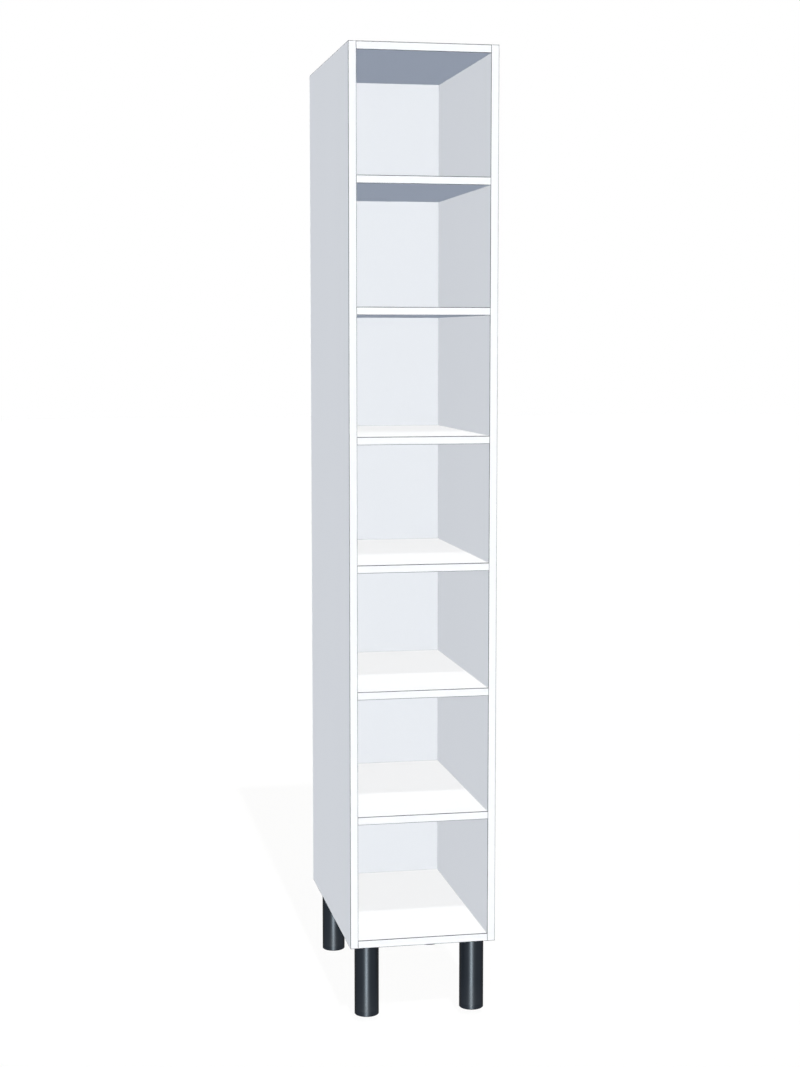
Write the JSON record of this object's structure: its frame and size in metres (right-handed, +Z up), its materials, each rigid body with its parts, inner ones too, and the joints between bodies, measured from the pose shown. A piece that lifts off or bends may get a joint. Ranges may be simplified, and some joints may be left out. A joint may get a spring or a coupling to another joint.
{
  "type": "open-front locker unit",
  "caption": "Tall narrow open-front locker unit of white board with equal open compartments, set on round dark levelling legs.",
  "frame": {"origin": "on the floor under the middle of the unit's width and depth, with the feet screwed in", "axes": "+X to the right seen from the front, the open front faces -Y, +Z up"},
  "size_m": [0.3, 0.51, 1.95],
  "materials": {
    "white_board": "satin",
    "back_board": "satin",
    "white_edging": "satin",
    "beech": "matte",
    "zinc_steel": "satin",
    "leg_steel": "satin",
    "leg_plastic": "satin"
  },
  "bodies": {
    "carcass": {"side_left": "white_board", "side_right": "white_board", "top_panel": "white_board", "bottom_panel": "white_board", "back_panel": "back_board", "shelf_1": "white_board", "shelf_2": "white_board", "shelf_3": "white_board", "shelf_4": "white_board", "shelf_5": "white_board", "shelf_6": "white_board", "side_left_front_edging": "white_edging", "side_left_top_edging": "white_edging", "side_left_bottom_edging": "white_edging", "side_right_front_edging": "white_edging", "side_right_top_edging": "white_edging", "side_right_bottom_edging": "white_edging", "top_front_edging": "white_edging", "bottom_front_edging": "white_edging", "shelf_1_edging": "white_edging", "shelf_2_edging": "white_edging", "shelf_3_edging": "white_edging", "shelf_4_edging": "white_edging", "shelf_5_edging": "white_edging", "shelf_6_edging": "white_edging", "cams": "zinc_steel", "cam_bolts": "zinc_steel", "carcass_dowels": "beech", "shelf_dowels": "beech", "leg_screws": "zinc_steel", "leg_plate_front_left": "zinc_steel", "leg_top_plug_front_left": "leg_plastic", "leg_tube_front_left": "leg_steel", "leg_foot_plug_front_left": "leg_plastic", "leg_plate_front_right": "zinc_steel", "leg_top_plug_front_right": "leg_plastic", "leg_tube_front_right": "leg_steel", "leg_foot_plug_front_right": "leg_plastic", "leg_plate_rear_left": "zinc_steel", "leg_top_plug_rear_left": "leg_plastic", "leg_tube_rear_left": "leg_steel", "leg_foot_plug_rear_left": "leg_plastic", "leg_plate_rear_right": "zinc_steel", "leg_top_plug_rear_right": "leg_plastic", "leg_tube_rear_right": "leg_steel", "leg_foot_plug_rear_right": "leg_plastic"},
    "pad_front_left": {"foot_pad_front_left": "leg_plastic"},
    "screw_front_left": {"foot_screw_front_left": "zinc_steel"},
    "pad_front_right": {"foot_pad_front_right": "leg_plastic"},
    "screw_front_right": {"foot_screw_front_right": "zinc_steel"},
    "pad_rear_left": {"foot_pad_rear_left": "leg_plastic"},
    "screw_rear_left": {"foot_screw_rear_left": "zinc_steel"},
    "pad_rear_right": {"foot_pad_rear_right": "leg_plastic"},
    "screw_rear_right": {"foot_screw_rear_right": "zinc_steel"}
  },
  "joints": [
    {"name": "pad_slide_front_left", "type": "slide", "parent": "carcass", "child": "pad_front_left", "axis": [0, 0, -1], "range_m": [0, 0.015]},
    {"name": "screw_turn_front_left", "type": "hinge", "parent": "pad_front_left", "child": "screw_front_left", "pos_m": [-0.11, -0.215, 0.02], "axis": [0, 0, -1], "range_deg": [0, 3600]},
    {"name": "pad_slide_front_right", "type": "slide", "parent": "carcass", "child": "pad_front_right", "axis": [0, 0, -1], "range_m": [0, 0.015]},
    {"name": "screw_turn_front_right", "type": "hinge", "parent": "pad_front_right", "child": "screw_front_right", "pos_m": [0.11, -0.215, 0.02], "axis": [0, 0, -1], "range_deg": [0, 3600]},
    {"name": "pad_slide_rear_left", "type": "slide", "parent": "carcass", "child": "pad_rear_left", "axis": [0, 0, -1], "range_m": [0, 0.015]},
    {"name": "screw_turn_rear_left", "type": "hinge", "parent": "pad_rear_left", "child": "screw_rear_left", "pos_m": [-0.11, 0.215, 0.02], "axis": [0, 0, -1], "range_deg": [0, 3600]},
    {"name": "pad_slide_rear_right", "type": "slide", "parent": "carcass", "child": "pad_rear_right", "axis": [0, 0, -1], "range_m": [0, 0.015]},
    {"name": "screw_turn_rear_right", "type": "hinge", "parent": "pad_rear_right", "child": "screw_rear_right", "pos_m": [0.11, 0.215, 0.02], "axis": [0, 0, -1], "range_deg": [0, 3600]}
  ],
  "couplings": [
    {"joint": "screw_turn_front_left", "follows": "pad_slide_front_left", "rad_per_m": 4188.8},
    {"joint": "screw_turn_front_right", "follows": "pad_slide_front_right", "rad_per_m": 4188.8},
    {"joint": "screw_turn_rear_left", "follows": "pad_slide_rear_left", "rad_per_m": 4188.8},
    {"joint": "screw_turn_rear_right", "follows": "pad_slide_rear_right", "rad_per_m": 4188.8}
  ]
}
